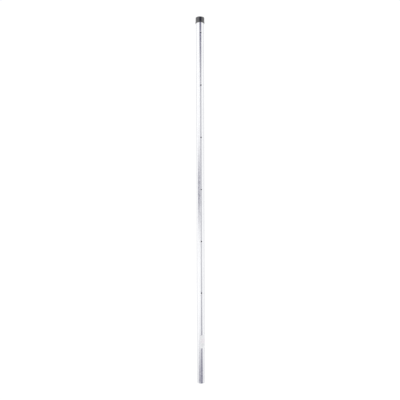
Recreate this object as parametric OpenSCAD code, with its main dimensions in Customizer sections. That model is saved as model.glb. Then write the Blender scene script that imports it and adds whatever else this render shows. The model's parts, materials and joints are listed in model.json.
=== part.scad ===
// Round steel post for an electric fence, with a row of insulator holes, a push-on cap and a sticker.
// The origin is the centre of the tube's lower end, +Z points up and the row of holes faces -Y.

/* [Tube] */
// Outer diameter of the tube
tube_d = 38; // [30:0.5:60]
// Wall thickness of the tube
tube_wall = 1.5; // [1:0.1:3]
// Length of the tube
tube_l = 1762; // [1000:1:2600]

/* [Insulator holes] */
// Diameter of each hole, which clears a 5 mm bolt
hole_d = 5.5; // [4:0.1:8]
// Distance from each hole to the next one down
hole_pitch = 250; // [150:5:400]
// Distance from the tube's top end to the first hole
hole_drop = 72; // [50:1:120]
// Length at the foot that has no holes, because it is driven into the ground
ground_l = 400; // [300:10:600]

/* [Cap] */
// Height of the cap, from its rim to its top
cap_h = 27; // [16:0.5:40]
// Thickness of the cap's side
cap_wall = 1.9; // [1.2:0.1:2.4]
// Thickness of the cap's top
cap_top = 3; // [1.5:0.1:4]
// Radius of the rounded edge round the cap's top
shoulder_r = 3; // [1:0.5:4]
// Height of the thicker band at the cap's rim
lip_h = 5; // [3:0.5:8]
// How far that band stands out from the cap's side
lip_out = 0.8; // [0.4:0.1:2]
// Radius of the band's upper and lower edges
lip_r = 0.4; // [0.2:0.1:0.4]
// Radial gap between the tube and the cap
cap_gap = 0.1; // [0.05:0.05:0.4]

/* [Sticker] */
// Height of the sticker
sticker_h = 64; // [30:1:100]
// Width of the sticker, measured round the tube
sticker_w = 40; // [15:1:60]
// Thickness of the sticker
sticker_t = 0.2; // [0.1:0.05:0.4]
// Height of the sticker's lower edge above the foot
sticker_z = 172; // [50:1:190]
// Angle from the row of holes to the sticker's left edge
sticker_turn = 27; // [0:1:180]

/* [Hidden] */
$fn = 96;

tube_r = tube_d / 2;
bore_r = tube_r - tube_wall;
hole_count = floor((tube_l - hole_drop - ground_l) / hole_pitch) + 1;
cap_in_r = tube_r + cap_gap;
cap_r = cap_in_r + cap_wall;
lip_full_r = cap_r + lip_out;
cap_z = tube_l + cap_top - cap_h;
sticker_arc = sticker_w / tube_r * 180 / PI;
// The cutting tools run this far past the faces that they cut
over = 1;

function hole_z(i) = tube_l - hole_drop - i * hole_pitch;

// One hole through both walls, along Y
module cross_hole(z) {
    translate([0, tube_r + over, z])
        rotate([90, 0, 0])
            cylinder(d = hole_d, h = tube_d + 2 * over);
}

module post_tube() {
    color("silver")
        difference() {
            cylinder(r = tube_r, h = tube_l);
            translate([0, 0, -over])
                cylinder(r = bore_r, h = tube_l + 2 * over);
            for (i = [0 : hole_count - 1])
                cross_hole(hole_z(i));
        }
}

// Half section of the lip, as a disc with rounded edges
module lip_half() {
    square([lip_full_r - lip_r, lip_h]);
    translate([0, lip_r])
        square([lip_full_r, lip_h - 2 * lip_r]);
    for (z = [lip_r, lip_h - lip_r])
        translate([lip_full_r - lip_r, z])
            circle(r = lip_r);
}

// Half section of the cap's straight side and rounded shoulder, without its hollow
module crown_half() {
    square([cap_r, cap_h - shoulder_r]);
    square([cap_r - shoulder_r, cap_h]);
    translate([cap_r - shoulder_r, cap_h - shoulder_r])
        circle(r = shoulder_r);
}

module cap_half() {
    difference() {
        union() {
            lip_half();
            crown_half();
        }
        translate([0, -over])
            square([cap_in_r, cap_h - cap_top + over]);
    }
}

module end_cap() {
    color("#26262a")
        translate([0, 0, cap_z])
            rotate_extrude()
                cap_half();
}

module sticker() {
    color("gainsboro")
        translate([0, 0, sticker_z])
            rotate([0, 0, -90 - sticker_turn])
                rotate_extrude(angle = sticker_arc)
                    translate([tube_r, 0])
                        square([sticker_t, sticker_h]);
}

post_tube();
end_cap();
sticker();
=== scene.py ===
"""Looks of an electric fence corner post: a drilled galvanised tube, a black push-on cap and a sticker."""
import json
import math

import bmesh
import bpy
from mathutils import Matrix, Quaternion, Vector, noise


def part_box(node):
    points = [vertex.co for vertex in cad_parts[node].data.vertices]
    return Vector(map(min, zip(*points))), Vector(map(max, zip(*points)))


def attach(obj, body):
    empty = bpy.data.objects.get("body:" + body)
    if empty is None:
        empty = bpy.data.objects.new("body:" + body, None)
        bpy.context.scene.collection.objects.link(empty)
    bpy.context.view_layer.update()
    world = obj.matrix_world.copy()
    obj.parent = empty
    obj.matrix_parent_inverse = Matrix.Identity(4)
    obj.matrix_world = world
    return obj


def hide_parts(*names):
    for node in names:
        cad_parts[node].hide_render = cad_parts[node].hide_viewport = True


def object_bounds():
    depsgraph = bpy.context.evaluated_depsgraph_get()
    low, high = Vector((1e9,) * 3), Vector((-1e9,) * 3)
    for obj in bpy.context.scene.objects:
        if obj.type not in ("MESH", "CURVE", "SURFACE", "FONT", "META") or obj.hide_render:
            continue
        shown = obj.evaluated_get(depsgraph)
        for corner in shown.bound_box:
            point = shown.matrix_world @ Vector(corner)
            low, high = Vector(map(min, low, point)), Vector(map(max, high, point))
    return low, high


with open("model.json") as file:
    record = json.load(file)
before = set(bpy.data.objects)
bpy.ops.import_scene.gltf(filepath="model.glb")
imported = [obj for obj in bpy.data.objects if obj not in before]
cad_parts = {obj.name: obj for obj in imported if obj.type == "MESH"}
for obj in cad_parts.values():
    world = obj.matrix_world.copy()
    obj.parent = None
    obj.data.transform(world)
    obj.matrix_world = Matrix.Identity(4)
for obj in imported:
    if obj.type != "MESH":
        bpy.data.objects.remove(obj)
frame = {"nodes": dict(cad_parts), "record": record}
cad_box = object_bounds()

MM = 0.001
FULL = 2 * math.pi

# ---------------------------------------------------------------- sizes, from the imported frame


def node_points(node):
    """The vertices of a CAD node, which sits at the origin."""
    return [v.co.copy() for v in frame["nodes"][node].data.vertices]


def turn_of(point):
    """Angle of a point about the axis, from -Y towards +X."""
    return math.atan2(point.x, -point.y)


TUBE_R = max(math.hypot(p.x, p.y) for p in node_points("post_tube"))
BORE_R = min(math.hypot(p.x, p.y) for p in node_points("post_tube"))
TUBE_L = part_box("post_tube")[1][2]
HOLES = [m for m in frame["record"]["mounts"] if m["name"].startswith("insulator_hole")]
HOLE_R = HOLES[0]["dims"]["r_mm"] * MM
HOLE_Z = sorted(m["pos_m"][2] for m in HOLES)

CAP_Z, CAP_TOP_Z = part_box("end_cap")[0][2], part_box("end_cap")[1][2]
CAP_RINGS = [(math.hypot(p.x, p.y), p.z) for p in node_points("end_cap")]
NEAR = 0.1 * MM  # two sizes of the cap that differ by less are taken as one
CROWN_H = 8 * MM  # this much of the cap's top is clear of the lip
# the lip's outer radius is the smallest reach of the CAD box, so that the lip stays inside it
LIP_R = min(abs(reach) for corner in cad_box for reach in corner[:2])
CAP_IN_R = min(r for r, z in CAP_RINGS if z < CAP_Z + NEAR)
CAP_R = max(r for r, z in CAP_RINGS if z > CAP_TOP_Z - CROWN_H)
LIP_H = max(z for r, z in CAP_RINGS if r > CAP_R + NEAR) - CAP_Z
CAP_CEILING = max(z for r, z in CAP_RINGS if r < CAP_IN_R + NEAR and z < CAP_TOP_Z - NEAR)
LIP_EDGE = 0.4 * MM  # radius of the lip's edges
SHOULDER = 3 * MM  # radius of the rounded edge round the cap's top

STICKER_Z = (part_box("sticker")[0][2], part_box("sticker")[1][2])
STICKER_TURNS = [turn_of(p) for p in node_points("sticker")]
STICKER_TURN = (min(STICKER_TURNS), max(STICKER_TURNS))
STICKER_T = 0.2 * MM


# ---------------------------------------------------------------- mesh helpers


def around(turn, radius, z):
    """The place at a turn about the axis, a distance from it and a height."""
    return (radius * math.sin(turn), -radius * math.cos(turn), z)


def new_piece(name, points, faces, material):
    """A smooth closed mesh that rides on the post, with its normals outwards."""
    mesh = bpy.data.meshes.new(name)
    mesh.from_pydata(points, [], faces)
    shell = bmesh.new()
    shell.from_mesh(mesh)
    bmesh.ops.recalc_face_normals(shell, faces=shell.faces)
    shell.to_mesh(mesh)
    shell.free()
    mesh.shade_smooth()
    mesh.materials.append(material)
    piece = bpy.data.objects.new(name, mesh)
    bpy.context.scene.collection.objects.link(piece)
    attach(piece, "root")
    return piece


def join_loops(faces, one, other):
    """Adds the quads between two closed loops that have as many points as each other."""
    count = len(one)
    for i in range(count):
        j = (i + 1) % count
        faces.append((one[i], one[j], other[j], other[i]))


# ---------------------------------------------------------------- tube

COLUMNS = 128  # points round the tube and the cap
PATCH = 7  # half the width of the square round a hole, in columns
ROW_STEP = FULL * TUBE_R / COLUMNS
LONG_STEP = 20 * MM  # distance between rows away from the holes and the foot
FOOT_ROWS = (0.35, 0.7, 1.2, 2, 3, 4.5, 7, 11)  # heights of the rows near the foot, in mm
RINGS = 7  # rings of points between that square and the hole
CROWDING = 1.6  # how much these rings crowd towards the hole
EDGE = 0.25 * MM  # radius of a hole's rounded edges
OUTER_EDGE = (0.5, 1.0, math.pi / 2)  # angles of the points on the outer edge
INNER_EDGE = (0, 0.6, 1.1)  # the same on the inner edge
DENT = 0.28 * MM  # depth of the dent round a hole
DENT_R = 6.2 * MM  # radius of that dent
BEAD = 0.16 * MM  # how far the zinc stands out at the foot
BEAD_H = 2.2 * MM  # height over which it fades
BEAD_MEAN, BEAD_VARY = 0.65, 0.7  # its unevenness round the tube
BEAD_WAVES = (2.2, 60)  # the waves' scale round the tube and up it
BEAD_IN = 0.5  # the bead ends this far in on the cut face, in mm
# the cut face from outside to inside: how far in from the tube's surface and how high, in mm
FOOT_FACE = ((0.06, 0.12), (0.22, 0.02), (0.5, 0.0), (1.3, 0.0), (1.45, 0.06))


def tube_rows():
    """Heights of the grid's rows: fine at the foot and round each hole, and long steps between."""
    rows = [height * MM for height in FOOT_ROWS]
    stops = [(z - PATCH * ROW_STEP, z + PATCH * ROW_STEP) for z in HOLE_Z] + [(TUBE_L, TUBE_L)]
    for low, high in stops:
        gap = low - rows[-1]
        steps = max(1, round(gap / LONG_STEP))
        first = rows[-1]
        rows += [first + gap * k / steps for k in range(1, steps + 1)]
        if high > low:
            rows += [low + ROW_STEP * k for k in range(1, 2 * PATCH + 1)]
    return rows


def dent(x, z):
    """How far the wall is pressed in by the punch, near a hole."""
    near = min(math.hypot(x, z - hole) for hole in HOLE_Z)
    if near >= DENT_R:
        return 0.0
    return DENT * (1 - (near / DENT_R) ** 2) ** 2


def bead(turn, z):
    """Zinc that ran down and set in a thicker, uneven edge at the foot."""
    across, up = BEAD_WAVES
    place = Vector((math.sin(turn) * across, math.cos(turn) * across, z * up))
    uneven = BEAD_MEAN + BEAD_VARY * noise.noise(place)
    return BEAD * uneven * math.exp(-z / BEAD_H)


def tube_surface(points, faces, rows, radius, is_outer):
    """One side of the wall, open at both ends, with rings of points round each hole.

    Returns the loop of points at each end, and each hole's rim with the angles of its points.
    """
    grid = {}
    skipped = set()  # the squares round the holes, which the rings fill
    for hole in HOLE_Z:
        middle = min(range(len(rows)), key=lambda i: abs(rows[i] - hole))
        for side in (0, COLUMNS // 2):
            for i in range(middle - PATCH, middle + PATCH):
                for j in range(-PATCH, PATCH):
                    skipped.add((i, (side + j) % COLUMNS))

    def at(i, j):
        key = (i, j % COLUMNS)
        if key not in grid:
            turn = FULL * key[1] / COLUMNS
            z = rows[i]
            proud = bead(turn, z) if is_outer else 0.0
            grid[key] = len(points)
            points.append(around(turn, radius + proud, z))
        return grid[key]

    for i in range(len(rows) - 1):
        for j in range(COLUMNS):
            if (i, j) not in skipped:
                faces.append((at(i, j), at(i, j + 1), at(i + 1, j + 1), at(i + 1, j)))

    rims = {}
    for hole in HOLE_Z:
        middle = min(range(len(rows)), key=lambda i: abs(rows[i] - hole))
        low, high = middle - PATCH, middle + PATCH
        for side in (0, COLUMNS // 2):
            border = [(low, j) for j in range(-PATCH, PATCH)]
            border += [(i, PATCH) for i in range(low, high)]
            border += [(high, j) for j in range(PATCH, -PATCH, -1)]
            border += [(i, -PATCH) for i in range(high, low, -1)]
            loop = [at(i, side + j) for i, j in border]
            flat = [(radius * math.sin(FULL * j / COLUMNS), rows[i] - hole) for i, j in border]
            angles = [math.atan2(v, u) for u, v in flat]
            for k in range(1, RINGS + 1):
                t = 1 - (1 - k / RINGS) ** CROWDING
                ring = []
                for (u, v), angle in zip(flat, angles):
                    x = u + t * ((HOLE_R + EDGE) * math.cos(angle) - u)
                    z = v + t * ((HOLE_R + EDGE) * math.sin(angle) - v)
                    ring.append(len(points))
                    turn = FULL * side / COLUMNS + math.asin(x / radius)
                    points.append(around(turn, radius - dent(x, hole + z), hole + z))
                join_loops(faces, loop, ring)
                loop = ring
            rims[(hole, side)] = (loop, angles)
    bottom = [at(0, j) for j in range(COLUMNS)]
    top = [at(len(rows) - 1, j) for j in range(COLUMNS)]
    return bottom, top, rims


def hole_wall(points, faces, hole, side, outer, inner, angles):
    """The punched edge of one hole, rounded outside and inside, between the wall's two surfaces."""
    wall = TUBE_R - BORE_R
    press = dent(HOLE_R, hole)
    loop = outer
    steps = [(EDGE * (1 - math.sin(q)), EDGE * (1 - math.cos(q))) for q in OUTER_EDGE]
    steps += [(EDGE * (1 - math.cos(q)), wall - EDGE * (1 - math.sin(q))) for q in INNER_EDGE]
    for out, depth in steps:
        ring = []
        for angle in angles:
            x = (HOLE_R + out) * math.cos(angle)
            z = hole + (HOLE_R + out) * math.sin(angle)
            radius = TUBE_R - press - depth
            ring.append(len(points))
            points.append(around(FULL * side / COLUMNS + math.asin(x / radius), radius, z))
        join_loops(faces, loop, ring)
        loop = ring
    join_loops(faces, loop, inner)


def build_tube(material):
    """The drilled tube as one closed mesh: both sides of its wall, its hole edges and its two ends."""
    points, faces = [], []
    rows = tube_rows()
    outer_foot, outer_top, outer_rims = tube_surface(points, faces, rows, TUBE_R, True)
    inner_foot, inner_top, inner_rims = tube_surface(points, faces, rows, BORE_R, False)
    for (hole, side), (rim, angles) in outer_rims.items():
        hole_wall(points, faces, hole, side, rim, inner_rims[(hole, side)][0], angles)
    # the foot's cut edge: rounded outside by the zinc, nearly square inside
    loop = outer_foot
    for inwards, z in FOOT_FACE:
        ring = []
        for j in range(COLUMNS):
            turn = FULL * j / COLUMNS
            proud = bead(turn, 0) * max(0.0, 1 - inwards / BEAD_IN)
            ring.append(len(points))
            points.append(around(turn, TUBE_R - inwards * MM + proud, z * MM))
        join_loops(faces, loop, ring)
        loop = ring
    join_loops(faces, loop, inner_foot)
    join_loops(faces, outer_top, inner_top)
    piece = new_piece("tube_skin", points, faces, material)
    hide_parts("post_tube")


# ---------------------------------------------------------------- cap

GATE_R = 2.2 * MM  # radius of the round gate mark in the middle of the cap's top
GATE_DEEP = 0.25 * MM  # depth of that mark
CENTRE_R = 1.0 * MM  # radius of the ring round the middle of the ceiling


def arc(centre_r, centre_z, radius, start, end, steps):
    """Points of an arc in the half section, its angles in degrees from the outward direction."""
    angles = [math.radians(start + (end - start) * k / steps) for k in range(steps + 1)]
    return [(centre_r + radius * math.cos(a), centre_z + radius * math.sin(a)) for a in angles]


def cap_profile():
    """Half section of the cap in (radius, height), from the middle of its top, outside and then inside."""
    top = CAP_TOP_Z
    # the gate mark: a round hollow with the stub of the gate in its middle
    outline = [(0.9 * MM, top - 0.05 * MM), (1.1 * MM, top - GATE_DEEP)]
    outline += [(GATE_R - 0.2 * MM, top - GATE_DEEP), (GATE_R + 0.2 * MM, top - 0.02 * MM)]
    outline += [(GATE_R + 1.5 * MM, top)]
    outline += [(GATE_R + (CAP_R - SHOULDER - GATE_R) * k / 4, top) for k in (2, 3)]
    outline += arc(CAP_R - SHOULDER, top - SHOULDER, SHOULDER, 90, 0, 9)
    side_top, side_low = top - SHOULDER, CAP_Z + LIP_H
    outline += [(CAP_R, side_top + (side_low + 0.5 * MM - side_top) * k / 5) for k in range(1, 6)]
    # a small fillet where the side meets the lip
    outline += [(CAP_R + 0.08 * MM, side_low + 0.16 * MM), (CAP_R + 0.28 * MM, side_low + 0.02 * MM)]
    outline += arc(LIP_R - LIP_EDGE, side_low - LIP_EDGE, LIP_EDGE, 90, 0, 4)
    outline += [(LIP_R, CAP_Z + LIP_H / 2)]
    outline += arc(LIP_R - LIP_EDGE, CAP_Z + LIP_EDGE, LIP_EDGE, 0, -90, 4)
    outline += [(CAP_IN_R + 0.3 * MM, CAP_Z), (CAP_IN_R, CAP_Z + 0.3 * MM)]
    outline += [(CAP_IN_R, CAP_CEILING), (CENTRE_R, CAP_CEILING)]
    return outline


def build_cap(material):
    """The cap as one closed mesh, turned from its half section."""
    points, faces = [], []
    profile = cap_profile()
    loops = []
    for radius, z in profile:
        loops.append([len(points) + j for j in range(COLUMNS)])
        points += [around(FULL * j / COLUMNS, radius, z) for j in range(COLUMNS)]
    for one, other in zip(loops, loops[1:]):
        join_loops(faces, one, other)
    for loop, height in ((loops[0], profile[0][1]), (loops[-1], profile[-1][1])):
        middle = len(points)
        points.append((0, 0, height))
        faces += [(loop[j], loop[(j + 1) % COLUMNS], middle) for j in range(COLUMNS)]
    piece = new_piece("cap_shell", points, faces, material)
    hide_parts("end_cap")


# ---------------------------------------------------------------- sticker

STICKER_WIDTH = (STICKER_TURN[1] - STICKER_TURN[0]) * TUBE_R
STICKER_HEIGHT = STICKER_Z[1] - STICKER_Z[0]
STICKER_COLUMNS = 56
STICKER_ROWS = 44  # between its rounded corners
STICKER_CORNER = 3 * MM
CORNER_ROWS, CORNER_STEP = 6, 15  # rows in a rounded corner, and degrees between them
FILM_SHARE = 0.8  # the film's thickness, as a share of the CAD sticker's
FILM_GAP = 0.01 * MM  # least distance from the tube
WAVE = 0.035 * MM  # half the height of the film's small waves
WAVE_PLACE = (160, 110, 4.2)  # the waves' scale across and up, and where their pattern is cut
LIFT = 0.7 * MM  # how far the upper left corner stands off
LIFT_R = 6 * MM  # how far that lift reaches from the corner
SECOND_LIFT = 0.6  # the lower right corner's lift, as a share of that


def sticker_lift(across, up):
    """How far the film stands off the tube: small waves, and two corners that have begun to peel."""
    place = Vector((across * WAVE_PLACE[0], up * WAVE_PLACE[1], WAVE_PLACE[2]))
    waves = WAVE * (1 + noise.noise(place))
    upper_left = math.hypot(across, STICKER_HEIGHT - up)
    lower_right = math.hypot(STICKER_WIDTH - across, up)
    peel = LIFT * math.exp(-((upper_left / LIFT_R) ** 2))
    peel += SECOND_LIFT * LIFT * math.exp(-((lower_right / LIFT_R) ** 2))
    return FILM_GAP + waves + peel


def sticker_rows():
    """Heights of the film's rows above its lower edge, close together in its rounded corners."""
    turns = [math.radians(CORNER_STEP * k) for k in range(CORNER_ROWS)]
    near = [STICKER_CORNER * (1 - math.cos(turn)) for turn in turns]
    straight = STICKER_HEIGHT - 2 * STICKER_CORNER
    body = [STICKER_CORNER + straight * k / STICKER_ROWS for k in range(STICKER_ROWS + 1)]
    return near + body + [STICKER_HEIGHT - up for up in reversed(near)]


def build_sticker(material):
    """The film as one closed mesh: its two sides, and the edge that joins them."""
    points, faces = [], []
    rows = sticker_rows()
    sides = []
    for thick in (0.0, STICKER_T * FILM_SHARE):
        grid = []
        for up in rows:
            from_end = min(up, STICKER_HEIGHT - up)
            inset = 0.0
            if from_end < STICKER_CORNER:
                short = STICKER_CORNER - from_end
                inset = STICKER_CORNER - math.sqrt(STICKER_CORNER**2 - short**2)
            line = []
            for j in range(STICKER_COLUMNS + 1):
                across = inset + (STICKER_WIDTH - 2 * inset) * j / STICKER_COLUMNS
                radius = TUBE_R + sticker_lift(across, up) + thick
                line.append(len(points))
                points.append(around(STICKER_TURN[0] + across / TUBE_R, radius, STICKER_Z[0] + up))
            grid.append(line)
        sides.append(grid)
    for grid in sides:
        for low, high in zip(grid, grid[1:]):
            for j in range(STICKER_COLUMNS):
                faces.append((low[j], low[j + 1], high[j + 1], high[j]))
    edges = []
    for grid in sides:
        edge = grid[0][:-1] + [line[-1] for line in grid[:-1]]
        edge += grid[-1][:0:-1] + [line[0] for line in reversed(grid[1:])]
        edges.append(edge)
    join_loops(faces, edges[0], edges[1])
    piece = new_piece("sticker_film", points, faces, material)
    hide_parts("sticker")


# ---------------------------------------------------------------- materials

SEAM_TURN = 2.62  # where the weld seam runs, in radians from the front
SEAM_HALF = 0.055  # half its width, in radians
PARTING_HALF = 0.22 * MM  # half the width of the cap's parting lines
# the sticker's print, in mm above its lower edge and in from its sides
PRINT_MARGIN = 4.0
DASH_ROWS = ((12.0, 13.6, 1.3), (15.6, 17.2, 5.9), (19.2, 20.8, 8.1))  # from, to, seed
DASH_SCALE = 0.55  # a larger scale makes the dashes shorter
FIELD_FROM, FIELD_TO = 24.0, 16.5  # the tinted field, above the lower and below the upper edge
RULE = 0.5  # thickness of the rules that frame it
BLUR = 0.15  # half the soft edge of all of it


class Shader:
    """A material or world with short ways to add and link nodes."""

    def __init__(self, owner):
        owner.use_nodes = True
        self.tree = owner.node_tree
        self.tree.nodes.clear()

    def add(self, kind, inputs=None, **settings):
        """A new node, each input set to a value or linked from another node's socket."""
        made = self.tree.nodes.new(kind)
        for key, value in settings.items():
            setattr(made, key, value)
        for key, value in (inputs or {}).items():
            socket = made.inputs[key]
            if isinstance(value, bpy.types.NodeSocket):
                self.tree.links.new(value, socket)
            else:
                socket.default_value = value
        return made

    def maths(self, operation, *values, clamp=False):
        """The result of a Math node."""
        inputs = dict(enumerate(values))
        return self.add("ShaderNodeMath", inputs, operation=operation, use_clamp=clamp).outputs[0]

    def remap(self, value, low, high, to_low, to_high, smooth=False):
        """A value mapped from one range to another, and kept inside it."""
        inputs = {"Value": value, "From Min": low, "From Max": high, "To Min": to_low, "To Max": to_high}
        kind = "SMOOTHSTEP" if smooth else "LINEAR"
        return self.add("ShaderNodeMapRange", inputs, interpolation_type=kind).outputs["Result"]

    def blend(self, amount, one, other):
        """Mixes two colours."""
        inputs = {0: amount, 6: one, 7: other}
        return self.add("ShaderNodeMix", inputs, data_type="RGBA").outputs[2]

    def stretched(self, position, scale):
        """The position scaled by its own factor along each axis."""
        inputs = {0: position, 1: scale}
        return self.add("ShaderNodeVectorMath", inputs, operation="MULTIPLY").outputs[0]

    def grain(self, position, scale, detail=2.0, rough=0.5):
        """Noise between 0 and 1."""
        inputs = {"Vector": position, "Scale": scale, "Detail": detail, "Roughness": rough}
        return self.add("ShaderNodeTexNoise", inputs).outputs[0]


def zinc_material():
    """Bright hot-dip zinc: small soft crystals, faint lines along the tube, patches and a duller bore."""
    material = bpy.data.materials.new("galvanised_steel")
    shader = Shader(material)
    position = shader.add("ShaderNodeTexCoord").outputs["Object"]
    cells = shader.add("ShaderNodeTexVoronoi", {"Vector": position, "Scale": 150.0, "Randomness": 1.0})
    crystal = shader.add("ShaderNodeSeparateColor", {"Color": cells.outputs["Color"]}).outputs[0]
    lines = shader.grain(shader.stretched(position, (1.0, 1.0, 0.012)), 900.0, 3.0)
    patches = shader.grain(shader.stretched(position, (1.0, 1.0, 0.3)), 28.0, 4.0, 0.6)
    clouds = shader.grain(position, 140.0, 5.0, 0.65)

    tone = shader.remap(crystal, 0.0, 1.0, -0.5, 0.5)
    tone = shader.maths("ADD", tone, shader.remap(patches, 0.3, 0.7, -0.6, 0.6))
    tone = shader.maths("ADD", tone, shader.remap(lines, 0.3, 0.7, -0.3, 0.3))
    colour = shader.blend(
        shader.remap(tone, -1.4, 1.4, 0.0, 1.0), (0.76, 0.765, 0.785, 1), (0.86, 0.865, 0.875, 1)
    )
    # white bloom in the zinc, strongest near the foot
    parts = shader.add("ShaderNodeSeparateXYZ", {0: position}).outputs
    low = shader.remap(parts[2], 0.0, 0.35, 1.0, 0.25, smooth=True)
    bloom = shader.maths("MULTIPLY", shader.remap(clouds, 0.56, 0.72, 0.0, 0.5, smooth=True), low)
    colour = shader.blend(bloom, colour, (0.80, 0.80, 0.80, 1))
    # the bore is duller
    flat = shader.stretched(position, (1, 1, 0))
    radius = shader.add("ShaderNodeVectorMath", {0: flat}, operation="LENGTH").outputs[1]
    inside = shader.remap(radius, BORE_R + 0.2 * MM, BORE_R + 0.9 * MM, 1.0, 0.0)
    colour = shader.blend(inside, colour, (0.42, 0.42, 0.43, 1))

    rough = shader.remap(crystal, 0.0, 1.0, 0.13, 0.19)
    rough = shader.maths("ADD", rough, shader.remap(lines, 0.3, 0.7, -0.03, 0.04))
    rough = shader.maths("ADD", rough, shader.maths("MULTIPLY", bloom, 0.3))
    rough = shader.maths("ADD", rough, shader.maths("MULTIPLY", inside, 0.2), clamp=True)

    height = shader.maths("MULTIPLY", lines, 0.3)
    height = shader.maths("ADD", height, shader.maths("MULTIPLY", crystal, 0.05))
    height = shader.maths("ADD", height, shader.maths("MULTIPLY", patches, 0.5))
    # the weld seam runs down the back
    seam = shader.maths("ARCTAN2", parts[0], shader.maths("MULTIPLY", parts[1], -1.0))
    seam_off = shader.maths("ABSOLUTE", shader.maths("SUBTRACT", seam, SEAM_TURN))
    seam_ridge = shader.remap(seam_off, 0.0, SEAM_HALF, 1.0, 0.0, smooth=True)
    height = shader.maths("ADD", height, shader.maths("MULTIPLY", seam_ridge, 0.9))
    bump = shader.add("ShaderNodeBump", {"Strength": 0.25, "Distance": 0.0002, "Height": height})

    surface = shader.add(
        "ShaderNodeBsdfPrincipled",
        {"Base Color": colour, "Metallic": 1.0, "Roughness": rough, "Normal": bump.outputs[0]},
    )
    shader.add("ShaderNodeOutputMaterial", {"Surface": surface.outputs[0]})
    return material


def plastic_material():
    """Black moulded plastic: glossy, with a fine grain, two parting lines and light handling marks."""
    material = bpy.data.materials.new("black_plastic")
    shader = Shader(material)
    position = shader.add("ShaderNodeTexCoord").outputs["Object"]
    fine = shader.grain(position, 1600.0, 3.0)
    broad = shader.grain(position, 120.0, 4.0)
    marks = shader.grain(shader.stretched(position, (1.0, 1.0, 9.0)), 260.0, 5.0, 0.7)
    scuff = shader.remap(marks, 0.6, 0.75, 0.0, 1.0, smooth=True)
    parts = shader.add("ShaderNodeSeparateXYZ", {0: position}).outputs
    parting = shader.maths("ABSOLUTE", parts[1])
    parting = shader.remap(parting, 0.0, PARTING_HALF, 1.0, 0.0, smooth=True)

    colour = shader.blend(broad, (0.012, 0.012, 0.0145, 1), (0.019, 0.019, 0.023, 1))
    colour = shader.blend(shader.maths("MULTIPLY", scuff, 0.35), colour, (0.06, 0.06, 0.065, 1))
    rough = shader.remap(broad, 0.3, 0.7, 0.08, 0.13)
    rough = shader.maths("ADD", rough, shader.maths("MULTIPLY", scuff, 0.15))
    height = shader.maths("MULTIPLY", fine, 0.25)
    height = shader.maths("ADD", height, shader.maths("MULTIPLY", parting, 1.2))
    height = shader.maths("ADD", height, shader.maths("MULTIPLY", broad, 0.8))
    bump = shader.add("ShaderNodeBump", {"Strength": 0.35, "Distance": 0.00006, "Height": height})
    surface = shader.add(
        "ShaderNodeBsdfPrincipled",
        {"Base Color": colour, "Roughness": rough, "IOR": 1.7, "Normal": bump.outputs[0]},
    )
    surface.inputs["Specular IOR Level"].default_value = 0.8
    shader.add("ShaderNodeOutputMaterial", {"Surface": surface.outputs[0]})
    return material


def film_material():
    """Pale matt film with a tinted field between two rules, and faint generic dashes in rows."""
    material = bpy.data.materials.new("sticker_film")
    shader = Shader(material)
    position = shader.add("ShaderNodeTexCoord").outputs["Object"]
    parts = shader.add("ShaderNodeSeparateXYZ", {0: position}).outputs
    turn = shader.maths("ARCTAN2", parts[0], shader.maths("MULTIPLY", parts[1], -1.0))
    across = shader.maths("MULTIPLY", shader.maths("SUBTRACT", turn, STICKER_TURN[0]), TUBE_R / MM)
    up = shader.maths("DIVIDE", shader.maths("SUBTRACT", parts[2], STICKER_Z[0]), MM)
    width = STICKER_WIDTH / MM
    height = STICKER_HEIGHT / MM

    def band(value, low, high):
        """1 between two heights or places, with soft edges."""
        rise = shader.remap(value, low - BLUR, low + BLUR, 0.0, 1.0)
        fall = shader.remap(value, high - BLUR, high + BLUR, 1.0, 0.0)
        return shader.maths("MULTIPLY", rise, fall)

    margin = band(across, PRINT_MARGIN, width - PRINT_MARGIN)
    # rows of short dashes of uneven length stand for small print
    ink = None
    for low, high, seed in DASH_ROWS:
        along = shader.maths("MULTIPLY", across, DASH_SCALE)
        place = shader.add("ShaderNodeCombineXYZ", {0: along, 1: seed, 2: 0.0}).outputs[0]
        dashes = shader.remap(shader.grain(place, 1.0, 1.0), 0.44, 0.47, 0.0, 1.0)
        row = shader.maths("MULTIPLY", band(up, low, high), dashes)
        ink = row if ink is None else shader.maths("MAXIMUM", ink, row)
    # two plain rules frame a tinted field
    field_top = height - FIELD_TO
    lower_rule = band(up, FIELD_FROM - RULE, FIELD_FROM)
    upper_rule = band(up, field_top, field_top + RULE)
    rules = shader.maths("MAXIMUM", lower_rule, upper_rule)
    ink = shader.maths("MULTIPLY", shader.maths("MAXIMUM", ink, rules), margin)
    field = shader.maths("MULTIPLY", band(up, FIELD_FROM, field_top), margin)

    mottle = shader.grain(position, 500.0, 4.0)
    colour = shader.blend(mottle, (0.79, 0.80, 0.80, 1), (0.83, 0.835, 0.835, 1))
    colour = shader.blend(shader.maths("MULTIPLY", field, 0.6), colour, (0.82, 0.78, 0.80, 1))
    colour = shader.blend(shader.maths("MULTIPLY", ink, 0.3), colour, (0.36, 0.36, 0.38, 1))
    rough = shader.remap(mottle, 0.3, 0.7, 0.55, 0.68)
    bump = shader.add("ShaderNodeBump", {"Strength": 0.2, "Distance": 0.00005, "Height": mottle})
    surface = shader.add(
        "ShaderNodeBsdfPrincipled", {"Base Color": colour, "Roughness": rough, "Normal": bump.outputs[0]}
    )
    shader.add("ShaderNodeOutputMaterial", {"Surface": surface.outputs[0]})
    return material


# ---------------------------------------------------------------- studio

FLOOR_SIZE = 60
FLOOR_PAINT = (0.9, 0.9, 0.9, 1)
FLOOR_GLOW = 1.09  # what the camera sees of the floor where nothing shades it
GLOW_SHARE = 0.8  # the rest is paint, which takes the post's shadow
WHITE = (1.03, 1.03, 1.03, 1)  # a little over 1, so that the denoiser leaves no grey in the backdrop


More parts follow.
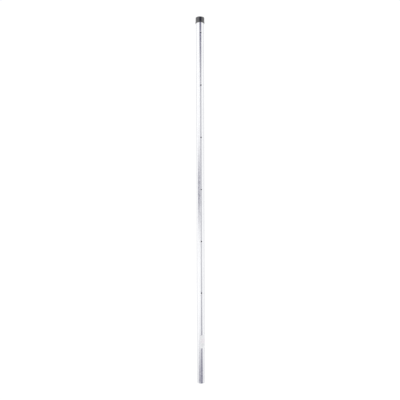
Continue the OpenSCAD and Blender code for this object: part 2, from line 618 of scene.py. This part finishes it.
def build_floor():
    """White floor that the camera sees as white, less the post's soft shadow."""
    bpy.ops.mesh.primitive_plane_add(size=FLOOR_SIZE)
    floor = bpy.context.object
    floor.name = "floor"
    material = bpy.data.materials.new("floor_white")
    shader = Shader(material)
    seen = shader.add("ShaderNodeLightPath").outputs["Is Camera Ray"]
    paint = shader.add("ShaderNodeBsdfDiffuse", {"Color": FLOOR_PAINT})
    glow = shader.add("ShaderNodeEmission", {"Color": (1, 1, 1, 1), "Strength": FLOOR_GLOW})
    share = shader.maths("MULTIPLY", seen, GLOW_SHARE)
    mixed = shader.add("ShaderNodeMixShader", {0: share, 1: paint.outputs[0], 2: glow.outputs[0]})
    shader.add("ShaderNodeOutputMaterial", {"Surface": mixed.outputs[0]})
    floor.data.materials.append(material)
    floor.visible_glossy = False


STUDIO = 0.94  # level of the studio wherever nothing below changes it
# the dim gap between the softboxes: its turn at the horizon, how far it leans for each degree of
# height, and its solid and faded half-widths
GAP_TURN, GAP_TILT, GAP_CORE, GAP_SOFT = 6, 0.55, 5, 22
# level of that gap, by height above the horizon in degrees
GAP_LEVELS = (
    (-35, 0.80),
    (-25, 0.18),
    (-20, 0.18),
    (-17, 0.38),
    (-12, 0.60),
    (-6, 0.72),
    (0, 0.50),
    (7, 0.58),
    (11, 0.76),
    (15, 0.34),
    (19, 0.04),
    (24, 0.10),
    (36, 0.80),
)
GAP_REACH = 45  # the ramp of levels runs this far above and below the horizon
# parts of the studio that reflect brighter or dimmer than the rest:
# turn, its solid and faded half-widths, rise, the same two for it, and level
PATCHES = (
    (-70, 44, 74, 8, 20, 50, 1.25),
    (62, 20, 42, 8, 24, 42, 1.17),
    (-14, 32, 104, -30, 7.5, 13, 0.18),
    (-2, 19, 38, 28, 9, 16, 0.2),
    (-55, 32, 46, 0, 0.5, 5.4, 0.24),
    (180, 26, 50, 0, 90, 120, 0.88),
)


def pale(level):
    """A grey that is bluer the dimmer it is."""
    dim = max(0.0, 1 - level)
    return (level + 0.01 * dim, level, level + 0.11 * dim, 1)


def build_world():
    """White to the camera. Reflections and light see a pale studio, dim between its two softboxes."""
    world = bpy.data.worlds.new("studio")
    bpy.context.scene.world = world
    shader = Shader(world)
    direction = shader.add("ShaderNodeTexCoord").outputs["Generated"]
    parts = shader.add("ShaderNodeSeparateXYZ", {0: direction}).outputs
    turn = shader.maths("ARCTAN2", parts[0], shader.maths("MULTIPLY", parts[1], -1.0))
    turn = shader.maths("DEGREES", turn)
    rise = shader.maths("DEGREES", shader.maths("ARCSINE", parts[2]))

    def window(value, middle, core, soft):
        """1 within core of the middle, fading to 0 at soft, in degrees round a full turn."""
        off = shader.maths("SUBTRACT", value, middle)
        off = shader.maths("ABSOLUTE", shader.maths("WRAP", off, 180.0, -180.0))
        return shader.remap(off, core, soft, 1.0, 0.0, smooth=True)

    ramp = shader.add("ShaderNodeValToRGB", {0: shader.remap(rise, -GAP_REACH, GAP_REACH, 0.0, 1.0)})
    stops = ramp.color_ramp.elements
    while len(stops) > 1:
        stops.remove(stops[-1])
    for index, (height, level) in enumerate(GAP_LEVELS):
        place = (height + GAP_REACH) / (2 * GAP_REACH)
        stop = stops[0] if index == 0 else stops.new(place)
        stop.position = place
        stop.color = pale(level)
    studio = pale(STUDIO)
    for middle, core, soft, up, up_core, up_soft, level in PATCHES:
        share = window(turn, middle, core, soft)
        share = shader.maths("MULTIPLY", share, window(rise, up, up_core, up_soft))
        kind = "LIGHTEN" if level > STUDIO else "DARKEN"
        inputs = {0: share, 6: studio, 7: pale(level)}
        studio = shader.add("ShaderNodeMix", inputs, data_type="RGBA", blend_type=kind).outputs[2]
    gap_turn = shader.maths("ADD", turn, shader.maths("MULTIPLY", rise, GAP_TILT))
    inputs = {0: window(gap_turn, GAP_TURN, GAP_CORE, GAP_SOFT), 6: studio, 7: ramp.outputs[0]}
    studio = shader.add("ShaderNodeMix", inputs, data_type="RGBA", blend_type="DARKEN").outputs[2]
    seen = shader.add("ShaderNodeLightPath").outputs["Is Camera Ray"]
    colour = shader.blend(seen, studio, WHITE)
    background = shader.add("ShaderNodeBackground", {"Color": colour, "Strength": 1.0})
    shader.add("ShaderNodeOutputWorld", {"Surface": background.outputs[0]})


LAMP_DISTANCE = 2.4
LAMP_WIDTH, LAMP_HEIGHT = 2.4, 3.0
LAMP_RADIANCE = 0.5


def softbox(name, turn_degrees, tint):
    """A large soft lamp that faces the post. Reflections leave it out, because the world shows it."""
    lamp = bpy.data.lights.new(name, "AREA")
    lamp.shape = "RECTANGLE"
    lamp.size, lamp.size_y = LAMP_WIDTH, LAMP_HEIGHT
    lamp.energy = LAMP_RADIANCE * math.pi * LAMP_WIDTH * LAMP_HEIGHT
    lamp.color = tint
    made = bpy.data.objects.new(name, lamp)
    bpy.context.scene.collection.objects.link(made)
    middle = Vector((0, 0, TUBE_L / 2))
    made.location = Vector(around(math.radians(turn_degrees), LAMP_DISTANCE, TUBE_L / 2))
    made.rotation_mode = "QUATERNION"
    made.rotation_quaternion = (middle - made.location).to_track_quat("-Z", "Z")
    made.visible_camera = False
    made.visible_glossy = False


CAMERA_TURN = math.radians(-12)
CAMERA_DISTANCE = 2.35
CAMERA_HEIGHT = 0.943
CAMERA_PITCH = math.radians(-1.3)
CAMERA_ROLL = math.radians(-0.17)
CAMERA_YAW = math.radians(0.055)
FOCAL_PIXELS = 485.5  # focal length in pixels of the image
SENSOR = 36.0
IMAGE = 400  # width of the image in pixels


def build_camera():
    """The photo's camera: a little left of the hole row, and just over half way up the post."""
    lens = bpy.data.cameras.new("camera")
    lens.sensor_width = SENSOR
    lens.lens = FOCAL_PIXELS * SENSOR / IMAGE
    camera = bpy.data.objects.new("camera", lens)
    bpy.context.scene.collection.objects.link(camera)
    camera.location = around(CAMERA_TURN, CAMERA_DISTANCE, CAMERA_HEIGHT)
    level = Vector((0, 0, CAMERA_HEIGHT)) - camera.location
    aim = level.to_track_quat("-Z", "Y")
    aim = aim @ Quaternion((0, 1, 0), CAMERA_YAW) @ Quaternion((1, 0, 0), CAMERA_PITCH)
    camera.rotation_mode = "QUATERNION"
    camera.rotation_quaternion = aim @ Quaternion((0, 0, 1), CAMERA_ROLL)
    bpy.context.scene.camera = camera


build_camera()
build_floor()
build_world()
softbox("softbox_left", -56, (1.0, 1.0, 1.0))
softbox("softbox_right", 62, (0.98, 0.98, 1.0))
build_tube(zinc_material())
build_cap(plastic_material())
build_sticker(film_material())

bpy.context.scene.view_settings.view_transform = "Standard"
